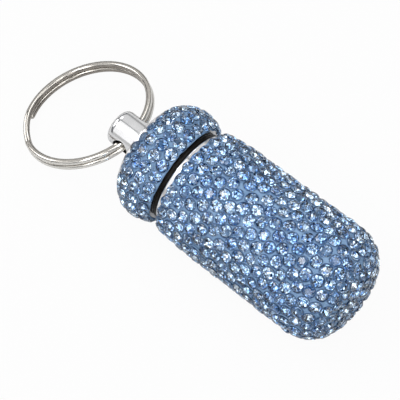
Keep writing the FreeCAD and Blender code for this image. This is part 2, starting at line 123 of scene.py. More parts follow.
# The clay's profile: where rays find it, and the step of the grid that is turned from it
CLAY_STEP = 0.3 * MM
SKIN_SIDES = 240
PROFILE_TURNS = 97
SIDE_RAYS = 200
BASE_RAYS = 80
CAP_RAYS = 120
END_INSET = 0.01 * MM
# Rays onto the base start at this X, well off the part
RAY_START = 1.0
# The side's profile stops this far before the base's end, and the base's this far from the axis
BASE_REACH = 4 * MM
HUB_RADIUS = 0.05 * MM
# A profile that ends closer to the axis than this is closed there
CLOSED_RADIUS = 1 * MM
# Under the clay: the bond line and the vial's rounded corner
BOND_LINE = 0.03 * MM
VIAL_CORNER = 6.3 * MM
CORNER_POINTS = 6

# The clay's surface, dented under each stone
CLAY_LEVEL = 0.05 * MM
CLAY_UNEVEN = 0.015 * MM
POCKET_ROOM = 0.06 * MM
# The collar round each stone, its radii in shares of the girdle's
COLLAR_SIDES = 24
COLLAR_TOP = 0.06 * MM
COLLAR_INNER = 1.03
COLLAR_OUTER = 1.26
COLLAR_FOOT = -0.16 * MM
# A collar's section between its feet, from inside out: (share of its width, depth under its top)
COLLAR_BEAD = ((0.0, 0.05 * MM), (0.2, 0.0), (0.5, 0.02 * MM), (0.85, 0.1 * MM))
# Painted shade on a collar's section, for the shadow in the gap round its stone, from its inner foot to its
# outer foot
COLLAR_PAINTED_SHADE = (1.0, 1.0, 0.9, 0.45, 0.1, 0.0)
# The share of that painted shade on the body and on the cap
BODY_PAINTED_SHADE = 1.0
CAP_PAINTED_SHADE = 0.4

# The clay comes over the cap's flange and past its face, with a rounded edge
CLAY_OVERHANG = 0.35 * MM
EDGE_BACK = 0.08 * MM
EDGE_DROP = 0.04 * MM
EDGE_THICKNESS = 0.15 * MM
# On two sides, the first this far round the axis, a share of that overhang is rubbed off
BARE_TURN = math.radians(69)
BARE_SIDES = 2
BARE_SHARE = 0.9
BARE_SHARPNESS = 3
# Ripples of the edge: (share of the overhang, waves round the axis)
EDGE_RIPPLES = ((0.08, 7), (0.06, 12))

# The split ring's wire, its places along it in degrees from the ring's far point
COIL_RADIUS = 13.65 * MM
WIRE_WIDTH = 1.3 * MM
WIRE_HEIGHT = 1.17 * MM
WIRE_ROUND = 0.48 * MM
LEAST_CORNER = 0.02 * MM
CORNER_STEPS = 10
COIL_GAP = 0.14 * MM
WIRE_START = 61.0
JOG_START = 380.0
JOG_END = 426.0
WIRE_END = 746.0
WIRE_STEP = 0.8
# Sections at the wire's rounded ends, in shares of the rounding
END_SHARES = (0, 0.1, 0.3, 0.6, 1)

# Finishes. Each colour stop is (place, colour).
ALUMINIUM_COLOURS = ((0.3, (0.80, 0.80, 0.81)), (0.7, (0.92, 0.92, 0.93)))
NICKEL_COLOURS = ((0.32, (0.57, 0.54, 0.50)), (0.62, (0.68, 0.65, 0.60)))
RUBBER_COLOURS = ((0.35, (0.007, 0.006, 0.005)), (0.7, (0.018, 0.015, 0.012)))
CLAY_COLOURS = ((0.3, (0.165, 0.28, 0.455)), (0.7, (0.25, 0.385, 0.575)))
# The dark blue painted into the clay next to each stone, for the shadow in the gap round it
PAINTED_SHADE_COLOUR = (0.025, 0.07, 0.19)
CRYSTAL_COLOURS = (
    (0.0, (0.48, 0.66, 0.89)),
    (0.5, (0.66, 0.80, 0.93)),
    (1.0, (0.83, 0.90, 0.96)),
)
# Foil colours along the painted facet shade: dark navy for facets painted as if they mirror dark places,
# white for those painted as if they mirror bright ones
FOIL_PAINTED_SHADES = (
    (0.0, (0.03, 0.075, 0.17)),
    (0.14, (0.15, 0.27, 0.48)),
    (0.28, (0.50, 0.66, 0.88)),
    (0.5, (0.80, 0.885, 0.97)),
    (0.75, (0.94, 0.97, 1.0)),
)
# Painted shade on the wire's inner face and a painted highlight on its outer face, each coming in between
# these distances from the middle of its section
INNER_SHADE_FROM_TO = (0.52 * MM, 0.64 * MM)
INNER_SHADE_COLOUR = (0.34, 0.31, 0.28)
OUTER_HIGHLIGHT_FROM_TO = (0.42 * MM, 0.64 * MM)
OUTER_HIGHLIGHT_COLOUR = (0.82, 0.80, 0.76)
# Most of a noise lies between these values
NOISE_LOW = 0.3
NOISE_HIGH = 0.7

# The photograph's view of the part
VIEW_TARGET = Vector((3.502, -2.377, 13.0)) * MM
VIEW_DISTANCE = 800 * MM
VIEW_RISE = math.radians(63.16)
VIEW_TURN = math.radians(40.17)
VIEW_LENS = 354.54
VIEW_SENSOR = 36

# The table top: half its side, its finish, and its share of plain white, seen by the camera and in metal
# and glass. The rest is lit.
FLOOR_REACH = 3.0
FLOOR_COLOUR = (0.58, 0.58, 0.58)
FLOOR_ROUGHNESS = 0.8
FLOOR_DIRECT = 0.95
FLOOR_MIRRORED = 0.12
PLAIN_WHITE = 1.0

# The light tent, by direction: its panels' strength, that of the right one as a factor, and where one
# goes over to the next
TENT_FRONT = 1.1
TENT_BACK = 0.76
TENT_EDGE = 0.24
TENT_RIGHT = 0.06
RIGHT_EDGE = 0.5
TENT_FADE = 0.03
# Its dark places: the seams between panels as (axis, place, half width), the opening that the camera looks
# through, and the horizon, which a white board lightens in one place
TENT_DARK = 0.1
TENT_SEAMS = (
    ("Y", 0.22, 0.03),
    ("X", -0.02, 0.08),
    ("X", 0.36, 0.07),
)
FRONT_SEAM = ("X", -0.62, 0.08)
SEAM_FADE = 1.3
OPENING_ANGLE = math.radians(6)
ANGLE_FADE = 1.15
HORIZON_LOW = 0.2
HORIZON_HIGH = 0.3
BOARD = ("X", -0.29, 0.14)
BOARD_SHARE = 0.5
# Where the tent is dark its cloth is navy, and where it is bright it is white
NAVY_CLOTH = (0.1, (0.76, 0.87, 1.0))
WHITE_CLOTH = (0.3, (1.0, 1.0, 1.0))
# The lamps that shine through the cloth
LAMP_ANGLE = math.radians(7.8)
LAMP_STRENGTH = 3.2
LAMP_WAYS = (
    (0.12, -0.75, 0.65),
    (0.5, 0.1, 0.86),
    (-0.12, -0.48, 0.87),
    (0.2, 0.35, 0.91),
    (0.15, -0.1, 0.98),
    (0.75, -0.2, 0.63),
    (0.85, 0.3, 0.42),
    (0.6, -0.55, 0.58),
    (0.92, -0.05, 0.38),
    (-0.93, 0.02, 0.36),
    (-0.6, 0.45, 0.66),
    (-0.88, -0.26, 0.4),
    (0.8, -0.45, 0.4),
)
# The softbox inside the tent, aimed at the part
SOFTBOX_PLACE = Vector((-0.35, -0.25, 0.8))
SOFTBOX_TARGET = Vector((0, 0, 0))
SOFTBOX_SIDE = 0.25
SOFTBOX_POWER = 1.5


# Shader nodes

def node_material(name):
    """An empty node material with a Principled shader."""
    material = bpy.data.materials.new(name)
    material.use_nodes = True
    nodes = material.node_tree.nodes
    return material, nodes, material.node_tree.links, nodes["Principled BSDF"]


def noise_value(nodes, links, scale, detail=3.0, stretch=(1, 1, 1), source=None):
    """Noise in the row frame, or along another vector. Scale is in waves for each metre."""
    if source is None:
        source = nodes.new("ShaderNodeTexCoord").outputs["Object"]
    mapping = nodes.new("ShaderNodeMapping")
    mapping.inputs["Scale"].default_value = stretch
    noise = nodes.new("ShaderNodeTexNoise")
    noise.inputs["Scale"].default_value = scale
    noise.inputs["Detail"].default_value = detail
    links.new(source, mapping.inputs["Vector"])
    links.new(mapping.outputs["Vector"], noise.inputs["Vector"])
    return noise.outputs["Fac"]


def attribute(nodes, name, output="Fac"):
    """A value that the mesh holds for each face or point."""
    made = nodes.new("ShaderNodeAttribute")
    made.attribute_name = name
    return made.outputs[output]


def ramp(nodes, links, value, *stops):
    """Colours along a value. Each stop is (place, colour)."""
    made = nodes.new("ShaderNodeValToRGB")
    elements = made.color_ramp.elements
    while len(elements) < len(stops):
        elements.new(0.5)
    for element, (place, colour) in zip(elements, stops):
        element.position = place
        element.color = (*colour, 1.0)
    links.new(value, made.inputs["Fac"])
    return made.outputs["Color"]


def between(nodes, links, value, low, high):
    """A number from low to high along the values where most noise lies."""
    made = nodes.new("ShaderNodeMapRange")
    made.inputs["From Min"].default_value = NOISE_LOW
    made.inputs["From Max"].default_value = NOISE_HIGH
    made.inputs["To Min"].default_value = low
    made.inputs["To Max"].default_value = high
    links.new(value, made.inputs["Value"])
    return made.outputs["Result"]


def edge_value(nodes, links, value, low, high):
    """0 at low and 1 at high, and the same beyond them. Low may be the greater."""
    made = nodes.new("ShaderNodeMapRange")
    made.inputs["From Min"].default_value = low
    made.inputs["From Max"].default_value = high
    links.new(value, made.inputs["Value"])
    return made.outputs["Result"]


def arithmetic(nodes, links, operation, first, second):
    """A Math node. Each operand is a socket or a number."""
    made = nodes.new("ShaderNodeMath")
    made.operation = operation
    for socket, operand in zip(made.inputs, (first, second)):
        if isinstance(operand, (int, float)):
            socket.default_value = operand
        else:
            links.new(operand, socket)
    return made.outputs["Value"]


def mixed(nodes, links, value, colour, other):
    """A colour that goes over to another, fixed one along a value from 0 to 1."""
    made = nodes.new("ShaderNodeMix")
    made.data_type = "RGBA"
    links.new(value, made.inputs["Factor"])
    links.new(colour, made.inputs["A"])
    made.inputs["B"].default_value = (*other, 1)
    return made.outputs["Result"]


def bump(nodes, links, shader, value, height):
    """Relief too fine for the mesh, as high as the height where the value is 1."""
    made = nodes.new("ShaderNodeBump")
    made.inputs["Distance"].default_value = height
    links.new(value, made.inputs["Height"])
    links.new(made.outputs["Normal"], shader.inputs["Normal"])


# Finishes

def make_aluminium():
    """Turned and polished: faint turning lines round the axis, a few dull patches."""
    material, nodes, links, shader = node_material("aluminium_polished")
    patches = noise_value(nodes, links, scale=260)
    lines = noise_value(nodes, links, scale=900, stretch=(14, 0.4, 0.4))
    colour = ramp(nodes, links, patches, *ALUMINIUM_COLOURS)
    links.new(colour, shader.inputs["Base Color"])
    links.new(between(nodes, links, lines, low=0.10, high=0.20), shader.inputs["Roughness"])
    bump(nodes, links, shader, lines, height=0.004 * MM)
    shader.inputs["Metallic"].default_value = 1.0
    return material


def make_nickel():
    """Plated spring wire: warm grey, with painted shade inside the loop and a painted highlight outside, and
    with drawing lines and small worn spots."""
    material, nodes, links, shader = node_material("nickel_wire")
    along = attribute(nodes, "wire_place", "Vector")
    spots = noise_value(nodes, links, scale=700, detail=5)
    lines = noise_value(nodes, links, scale=4000, detail=2, stretch=(0.01, 1, 1), source=along)
    colour = ramp(nodes, links, spots, *NICKEL_COLOURS)
    place = nodes.new("ShaderNodeSeparateXYZ")
    links.new(along, place.inputs["Vector"])
    # Painted shade on the inner face, a painted highlight on the outer
    inwards = arithmetic(nodes, links, "MULTIPLY", place.outputs["Y"], -1)
    inner_shade = edge_value(nodes, links, inwards, *INNER_SHADE_FROM_TO)
    outer_highlight = edge_value(nodes, links, place.outputs["Y"], *OUTER_HIGHLIGHT_FROM_TO)
    colour = mixed(nodes, links, inner_shade, colour, INNER_SHADE_COLOUR)
    links.new(mixed(nodes, links, outer_highlight, colour, OUTER_HIGHLIGHT_COLOUR), shader.inputs["Base Color"])
    links.new(between(nodes, links, lines, low=0.11, high=0.18), shader.inputs["Roughness"])
    bump(nodes, links, shader, lines, height=0.0005 * MM)
    shader.inputs["Metallic"].default_value = 1.0
    return material


def make_rubber():
    """Black seal with a fine moulded grain."""
    material, nodes, links, shader = node_material("rubber_black")
    grain = noise_value(nodes, links, scale=3000, detail=4)
    colour = ramp(nodes, links, grain, *RUBBER_COLOURS)
    links.new(colour, shader.inputs["Base Color"])
    links.new(between(nodes, links, grain, low=0.16, high=0.26), shader.inputs["Roughness"])
    shader.inputs["Specular IOR Level"].default_value = 0.12
    bump(nodes, links, shader, grain, height=0.01 * MM)
    return material


def make_clay():
    """Blue epoxy clay: soft patches of colour, a fine grain, and painted shade where the mesh has it: dark
    blue next to each stone, for the shadow in the gap round it.
    """
    material, nodes, links, shader = node_material("clay_blue")
    patches = noise_value(nodes, links, scale=420, detail=4)
    grain = noise_value(nodes, links, scale=5200)
    colour = ramp(nodes, links, patches, *CLAY_COLOURS)
    # Painted shade darkens the clay next to the stones
    painted_shade = attribute(nodes, "painted_shade")
    links.new(mixed(nodes, links, painted_shade, colour, PAINTED_SHADE_COLOUR), shader.inputs["Base Color"])
    links.new(between(nodes, links, grain, low=0.42, high=0.62), shader.inputs["Roughness"])
    shader.inputs["Specular IOR Level"].default_value = 0.15
    bump(nodes, links, shader, grain, height=0.02 * MM)
    return material


def make_crystal():
    """Pale blue cut glass. The tint differs a little from stone to stone."""
    material, nodes, links, shader = node_material("crystal_blue")
    tint = attribute(nodes, "stone_tint")
    colour = ramp(nodes, links, tint, *CRYSTAL_COLOURS)
    links.new(colour, shader.inputs["Base Color"])
    haze = noise_value(nodes, links, scale=1500)
    links.new(between(nodes, links, haze, low=0.0, high=0.05), shader.inputs["Roughness"])
    shader.inputs["IOR"].default_value = 1.55
    shader.inputs["Specular IOR Level"].default_value = 0.2
    shader.inputs["Transmission Weight"].default_value = 1.0
    return material


def make_foil():
    """Mirror foil on a stone's back. Each facet has a painted shade of its own, dark or bright, that stands
    in for the dark and bright places it mirrors.
    """
    material, nodes, links, shader = node_material("foil_silver_blue")
    shade = attribute(nodes, "painted_facet_shade")
    colour = ramp(nodes, links, shade, *FOIL_PAINTED_SHADES)
    links.new(colour, shader.inputs["Base Color"])
    links.new(between(nodes, links, shade, low=0.05, high=0.12), shader.inputs["Roughness"])
    shader.inputs["Metallic"].default_value = 1.0
    return material


# Meshes

def make_piece(name, points, faces, body, slot, *materials):
    """A mesh object from arrays, linked to the scene and riding on a body."""
    mesh = bpy.data.meshes.new(name)
    mesh.from_pydata([tuple(p) for p in points], [], [tuple(f) for f in faces])
    mesh.validate()
    for material in materials:
        mesh.materials.append(material)
    piece = bpy.data.objects.new(name, mesh)
    bpy.context.scene.collection.objects.link(piece)
    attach(piece, body)
    return piece


def face_values(mesh, name, values):
    """Gives each face a number that materials can read."""
    made = mesh.attributes.new(name, "FLOAT", "FACE")
    made.data.foreach_set("value", np.asarray(values, dtype=np.float32))


def ring_of(radius, turns, height):
    """Points on a level circle, at the given turns."""
    return [(radius * math.cos(a), radius * math.sin(a), height) for a in turns]


def turns_round(sides):
    """Even turns of a full circle."""
    return 2 * math.pi * np.arange(sides) / sides


def turned_grid(profile, sides):
    """Points of a profile turned about the capsule's axis, ring after ring."""
    along = np.repeat(profile[:, 0], sides)
    radius = np.repeat(profile[:, 1], sides)
    turn = np.tile(turns_round(sides), len(profile))
    return np.column_stack([along, radius * np.sin(turn), AXIS_Z + radius * np.cos(turn)])


def grid_faces(rings, sides):
    """Quads between the rings of a turned grid, and from the last ring back to the first."""
    faces = []
    for i in range(rings):
        near = i * sides
        far = (i + 1) % rings * sides
        for j in range(sides):
            k = (j + 1) % sides
            faces.append((near + j, far + j, far + k, near + k))
    return faces


def surface_tree(node):
    """The surface of a CAD node."""
    mesh = frame["nodes"][node].data
    return BVHTree.FromPolygons([v.co for v in mesh.vertices], [p.vertices for p in mesh.polygons])


def turned_tree(profile):
    """The surface that a profile makes when it is turned about the axis."""
    faces = grid_faces(len(profile), SKIN_SIDES)[:-SKIN_SIDES]
    return BVHTree.FromPolygons(turned_grid(profile, SKIN_SIDES).tolist(), faces)


# Stones

def stone_middles(node):
    """The middle of each stone in a CAD row, in order round the axis."""
    cut = bmesh.new()
    cut.from_mesh(frame["nodes"][node].data)
    bmesh.ops.remove_doubles(cut, verts=cut.verts, dist=WELD)
    cut.verts.index_update()
    seen = set()
    middles = []
    for first in cut.verts:
        if first.index in seen:
            continue
        island = [first]
        seen.add(first.index)
        for vert in island:
            for edge in vert.link_edges:
                other = edge.other_vert(vert)
                if other.index not in seen:
                    seen.add(other.index)
                    island.append(other)
        middles.append(np.mean([v.co for v in island], axis=0))
    cut.free()
    middles.sort(key=lambda middle: math.atan2(middle[1], middle[2] - AXIS_Z))
    return middles


def settle(rows, edge_rows, radius, skin):
    """Lets the stones of some rows drift off their seats by hand's chance, then pushes them apart
    within their limits. Returns each row's list of (middle, outward direction)."""
    room = STONE_ROOM * radius
    owners = []
    middles = []
    for row in rows:
        made = stone_middles(row)
        if row == CAP_ROWS[0]:
            made = [middle + SEAM_SHIFT for middle in made]
        owners += [row] * len(made)
        middles += made
    start = np.array([skin.find_nearest(middle)[0] for middle in middles])
    limit = np.full(start.shape, DRIFT_LIMIT)
    limit[np.isin(owners, edge_rows), 0] = EDGE_LIMIT
    points = start + RANDOM.normal(0, STONE_DRIFT, start.shape)
    apart = ~np.eye(len(points), dtype=bool)
    for _ in range(SETTLE_ROUNDS):
        gaps = points[:, None] - points[None]
        reach = np.linalg.norm(gaps, axis=2)
        push = np.where(apart, np.clip(room - reach, 0, None) / np.maximum(reach, LEAST_REACH), 0)
        points = points + SETTLE_PUSH * (gaps * push[..., None]).sum(axis=1)
        points = start + np.clip(points - start, -limit, limit)
        points = np.array([skin.find_nearest(p)[0] for p in points])
    settled = {row: [] for row in rows}
    for row, point in zip(owners, points):
        settled[row].append((Vector(point), skin.find_nearest(point)[1]))
    return settled


def stone_cut():
    """The corners and facets of one stone of radius 1, its girdle at height 0: a table, stars, kites
    and girdle facets above, and a rim and two rings of foiled facets below. Returns the points, the
    faces, and how many of the faces, from the first, are clear. The rim's faces come next."""
    turns = [2 * math.pi * i / GIRDLE_SIDES for i in range(GIRDLE_SIDES)]
    table_height = GIRDLE_EDGE + CROWN_SLOPE * (1 - TABLE_RADIUS)
    kite_height = GIRDLE_EDGE + CROWN_SLOPE * (1 - KITE_RADIUS * math.cos(turns[1]))
    rim_radius = 1 - RIM_WIDTH * (1 - MIDDLE_RADIUS)
    upper = ring_of(1, turns, GIRDLE_EDGE)
    lower = ring_of(1, turns, 0)
    table = ring_of(TABLE_RADIUS, turns[::2], table_height)
    kites = ring_of(KITE_RADIUS, turns[1::2], kite_height)
    rim = ring_of(rim_radius, turns, -RIM_WIDTH * MIDDLE_DEPTH)
    middle = ring_of(MIDDLE_RADIUS, turns[::2], -MIDDLE_DEPTH)
    points = upper + lower + table + kites + rim + middle + [(0, 0, -CULET_DEPTH)]
    low = GIRDLE_SIDES
    top = low + GIRDLE_SIDES
    side = top + len(table)
    inset = side + len(kites)
    deep = inset + GIRDLE_SIDES
    culet = deep + len(middle)
    faces = [tuple(range(top, side))]
    for i in range(len(table)):
        after = (i + 1) % len(table)
        before = (i - 1) % len(table)
        girdle = [2 * i, 2 * i + 1, (2 * i + 2) % GIRDLE_SIDES]
        faces.append((top + i, side + i, top + after))
        faces.append((top + i, side + before, girdle[0], side + i))
        faces.append((side + i, girdle[0], girdle[1]))
        faces.append((side + i, girdle[1], girdle[2]))
    for i in range(GIRDLE_SIDES):
        after = (i + 1) % GIRDLE_SIDES
        faces.append((i, low + i, low + after, after))
    clear = len(faces)
    for i in range(GIRDLE_SIDES):
        after = (i + 1) % GIRDLE_SIDES
        faces.append((low + after, low + i, inset + i, inset + after))
    for i in range(len(middle)):
        after = (i + 1) % len(middle)
        edge = [inset + 2 * i, inset + 2 * i + 1, inset + (2 * i + 2) % GIRDLE_SIDES]
        faces.append((edge[1], edge[0], deep + i))
        faces.append((edge[1], deep + i, deep + after))
        faces.append((edge[2], edge[1], deep + after))
        faces.append((deep + after, deep + i, culet))
    return np.array(points), faces, clear


def stone_place(middle, outwards, radius):
    """A stone's size and turn in one matrix, and its middle, with the small differences of setting by
    hand."""
    size = radius * (1 + RANDOM.normal(0, STONE_SPREAD))
    lean = Quaternion((RANDOM.normal(), RANDOM.normal(), 0), RANDOM.normal(0, STONE_TILT))
    spin = Quaternion((0, 0, 1), RANDOM.uniform(0, 2 * math.pi))
    turn = outwards.to_track_quat("Z", "Y") @ lean @ spin
    lift = GIRDLE_LIFT + RANDOM.normal(0, STONE_SINK)
    return np.array(turn.to_matrix() * size), np.array(middle + outwards * lift)


def uneven_cut(points):
    """A stone's corners with the small faults of a cheap cut below its girdle."""
    moved = points.copy()
    below = points[:, 2] < 0
    moved[below] += RANDOM.normal(0, CUT_SPREAD, (below.sum(), 3))
    return moved


def make_stone_row(row, body, places, crystal, foil):
    """One row of stones as a piece that stands for its CAD row."""
    cut_points, cut_faces, clear = stone_cut()
    points = []
    faces = []
    for turn, middle in places:
        start = len(points)
        points.extend(uneven_cut(cut_points) @ turn.T + middle)
        faces.extend(tuple(start + i for i in face) for face in cut_faces)
    piece = make_piece(f"crystals_{row}", points, faces, body, "blue_crystal", crystal, foil)
    count = len(places)
    each = len(cut_faces)
    number = np.arange(each)
    is_foil = number >= clear
    is_rim = is_foil & (number < clear + GIRDLE_SIDES)
    piece.data.polygons.foreach_set("material_index", np.tile(is_foil.astype(np.int32), count))
    face_values(piece.data, "stone_tint", np.repeat(RANDOM.uniform(0, 1, count), each))
    # Painted shade for each foil facet: random, and darker by a factor on the rim, for a dark outline round
    # the stone
    painted_shades = RANDOM.uniform(0, 1, (count, each)) * np.where(is_rim, RIM_PAINTED_SHADE, 1)
    face_values(piece.data, "painted_facet_shade", painted_shades.ravel())
    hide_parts(row)


# Clay

def side_profile(skin, along):
    """The clay's outside between its pockets, as (along the axis, from the axis): the farthest hit
    among rays from all round."""
    far = 2 * AXIS_Z
    profile = []
    for x in along:
        hits = []
        for turn in turns_round(PROFILE_TURNS):
            way = Vector((0, -math.sin(turn), -math.cos(turn)))
            hit = skin.ray_cast(Vector((x, 0, AXIS_Z)) - far * way, way)[0]
            if hit:
                hits.append(math.hypot(hit.y, hit.z - AXIS_Z))
        profile.append((x, max(hits)))
    return profile


def end_profile(skin, from_axis):
    """The same on the clay's closed end, from its rim to the axis."""
    reach = 0
    profile = []
    for radius in from_axis:
        for turn in turns_round(PROFILE_TURNS):
            place = (RAY_START, radius * math.sin(turn), AXIS_Z + radius * math.cos(turn))
            hit = skin.ray_cast(Vector(place), Vector((-1, 0, 0)))[0]
            reach = max(reach, hit.x)
        profile.append((reach, radius))
    return profile


def even_steps(profile, step):
    """Points at even steps along a profile."""
    profile = np.array(profile)
    run = np.concatenate([[0], np.cumsum(np.linalg.norm(np.diff(profile, axis=0), axis=1))])
    marks = np.linspace(0, run[-1], max(2, round(run[-1] / step)))
    return np.column_stack([np.interp(marks, run, profile[:, i]) for i in (0, 1)])


def body_profiles():
    """The vial's clay, outside from the mouth to the middle of the base, and inside back again."""
    skin = surface_tree("body_clay")
    low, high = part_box("body_clay")
    side = side_profile(skin, np.linspace(low.x + END_INSET, high.x - BASE_REACH, SIDE_RAYS))
    end = end_profile(skin, np.linspace(side[-1][1], HUB_RADIUS, BASE_RAYS)[1:])
    base = vial_high.x + BOND_LINE
    wall = VIAL_RADIUS + BOND_LINE
    inner = [(base, HUB_RADIUS)]
    for bend in np.linspace(0, math.pi / 2, CORNER_POINTS):
        along = base - VIAL_CORNER * (1 - math.cos(bend))
        from_axis = wall - VIAL_CORNER * (1 - math.sin(bend))
        inner.append((along, from_axis))
    inner.append((low.x, wall))
    return even_steps(side + end, CLAY_STEP), np.array(inner)


def cap_profiles():
    """The cap's roll of clay, outside from the dome to past the flange's face, and inside back again."""
    skin = surface_tree("cap_clay")
    low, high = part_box("cap_clay")
    roll = side_profile(skin, np.linspace(low.x + END_INSET, high.x - END_INSET, CAP_RAYS))
    edge = roll[-1][1]
    front = FLANGE_FACE + CLAY_OVERHANG
    over = [(front - EDGE_BACK, edge - EDGE_DROP), (front, FLANGE_RADIUS + EDGE_THICKNESS)]
    corners = frame["nodes"]["cap_clay"].data.vertices
    core = min(math.hypot(v.co.y, v.co.z - AXIS_Z) for v in corners)
    inner = [
        (front, FLANGE_RADIUS + BOND_LINE),
        (high.x, FLANGE_RADIUS + BOND_LINE),
        (high.x, core),
        (low.x, core),
    ]
    return even_steps(roll + over, CLAY_STEP), np.array(inner)


def dent(points, outwards, places):
    """Moves clay points inwards under the stones, and unevenly up and down elsewhere."""
    middles = np.array([middle for _, middle in places])
    sizes = np.array([np.linalg.norm(turn[:, 2]) for turn, _ in places])
    ways = np.array([turn[:, 2] for turn, _ in places]) / sizes[:, None]
    moved = points.copy()
    for i, point in enumerate(points):
        offset = point - middles
        nearest = np.argmin((offset ** 2).sum(axis=1))
        high = offset[nearest] @ ways[nearest]
        aside = np.linalg.norm(offset[nearest] - high * ways[nearest])
        inside = sizes[nearest] * COLLAR_INNER - aside
        level = CLAY_LEVEL + RANDOM.normal(0, CLAY_UNEVEN)
        if inside > 0:
            pocket = -CULET_DEPTH * inside - POCKET_ROOM
            level = min(level, pocket - high)
        moved[i] = point + outwards[i] * level
    return moved


def make_clay_skin(name, body, profile, inner, places, clay):
    """A clay skin, turned from its outer and inner profiles and dented under the stones."""
    sides = round(2 * math.pi * np.max(profile[:, 1]) / CLAY_STEP)
    slopes = np.gradient(profile, axis=0)
    normals = np.column_stack([-slopes[:, 1], slopes[:, 0]])
    normals /= np.linalg.norm(normals, axis=1)[:, None]
    turns = np.tile(turns_round(sides), len(profile))
    ahead = np.repeat(normals[:, 0], sides)
    up = np.repeat(normals[:, 1], sides)
    outwards = np.column_stack([ahead, up * np.sin(turns), up * np.cos(turns)])
    outer = dent(turned_grid(profile, sides), outwards, places)
    points = np.concatenate([outer, turned_grid(inner, sides)])
    faces = grid_faces(len(profile) + len(inner), sides)
    piece = make_piece(name, points, faces, body, "blue_clay", clay)
    piece.data.shade_smooth()
    return piece


def rub_edge(piece, edge):
    """Draws the clay's edge back from the flange's face where it is rubbed off."""
    for vert in piece.data.vertices:
        over = vert.co.x - edge
        if over > 0:
            turn = math.atan2(vert.co.y, vert.co.z - AXIS_Z)
            bare = max(0, math.cos(BARE_SIDES * (turn - BARE_TURN)))
            ripple = sum(share * math.sin(waves * turn) for share, waves in EDGE_RIPPLES)
            vert.co.x = edge + over * (1 - BARE_SHARE * bare ** BARE_SHARPNESS + ripple)


def collar_points(turn, middle):
    """A bead of clay round one stone, squeezed up by its girdle: a closed ring of six-sided section."""
    size = np.linalg.norm(turn[:, 2])
    way = turn / size
    foot = COLLAR_FOOT - GIRDLE_LIFT
    top = COLLAR_TOP - GIRDLE_LIFT
    width = (COLLAR_OUTER - COLLAR_INNER) * size
    inner = COLLAR_INNER * size
    bead = [(inner + share * width, top - depth) for share, depth in COLLAR_BEAD]
    section = [(inner, foot), *bead, (inner + width, foot)]
    turns = turns_round(COLLAR_SIDES)
    rings = [np.array(ring_of(radius, turns, height)) for radius, height in section]
    return np.concatenate(rings) @ way.T + middle


def make_collars(name, body, profile, places, clay, painted_shade):
    """Every stone's collar on one clay skin, kept within the clay's length, with a share of painted shade
    that darkens it next to the stone.
    """
    points = []
    faces = []
    for turn, middle in places:
        start = len(points)
        collar = collar_points(turn, middle)
        points.extend(collar)
        rings = len(collar) // COLLAR_SIDES
        faces.extend(tuple(start + i for i in face) for face in grid_faces(rings, COLLAR_SIDES))
    points = np.array(points)
    closed = profile[-1][1] < CLOSED_RADIUS
    low = profile[:, 0].min()
    high = profile[:, 0].max() + COLLAR_TOP * closed
    points[:, 0] = np.clip(points[:, 0], low, high)
    piece = make_piece(name, points, faces, body, "blue_clay", clay)
    piece.data.shade_smooth()
    # Painted shade: darkest next to the stone, fading out over the collar
    made = piece.data.attributes.new("painted_shade", "FLOAT", "POINT")
    each = painted_shade * np.repeat(COLLAR_PAINTED_SHADE, COLLAR_SIDES)
    made.data.foreach_set("value", np.tile(each, len(places)).astype(np.float32))


def dress(node, body, rows, edge_rows, radius, painted_shade, profiles, finishes):
    """The stones of some rows, set in the skin that stands for one clay node. Returns the skin."""
    clay, crystal, foil = finishes
    settled = settle(rows, edge_rows, radius, turned_tree(profiles[0]))
    all_places = []
    for row in rows:
        places = [stone_place(*seat, radius) for seat in settled[row]]
        make_stone_row(row, body, places, crystal, foil)
        all_places += places
    skin = make_clay_skin(f"{node}_skin", body, *profiles, all_places, clay)
    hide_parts(node)
    make_collars(f"{node}_collars", body, profiles[0], all_places, clay, painted_shade)
    return skin


# The split ring

def wire_section(inset):
    """The wire's rounded flat section, drawn in by an inset, as (outwards, upwards)."""
    corner = max(WIRE_ROUND - inset, LEAST_CORNER)
    across = WIRE_WIDTH / 2 - inset - corner
    up = WIRE_HEIGHT / 2 - inset - corner
    points = []
    for quarter, (side, rise) in enumerate(((1, 1), (-1, 1), (-1, -1), (1, -1))):
        for step in range(CORNER_STEPS + 1):
            bend = math.pi / 2 * (quarter + step / CORNER_STEPS)
            points.append((side * across + corner * math.cos(bend), rise * up + corner * math.sin(bend)))
    return np.array(points)


def wire_turns():
    """Degrees along the wire, closer together at its ends."""
    degrees_for_metre = 1 / math.radians(1) / COIL_RADIUS
    ends = WIRE_ROUND * degrees_for_metre * np.array(END_SHARES)
    steps = np.arange(WIRE_START + WIRE_STEP, WIRE_END - WIRE_STEP, WIRE_STEP)
    return np.concatenate([WIRE_START + ends, steps, (WIRE_END - ends)[::-1]])


def wire_inset(turn):
    """How far the section is drawn in, to round the wire's ends."""
    left = min(turn - WIRE_START, WIRE_END - turn)
    share = 1 - min(1, math.radians(left) * COIL_RADIUS / WIRE_ROUND)
    return WIRE_ROUND * (1 - math.sqrt(max(0, 1 - share * share)))


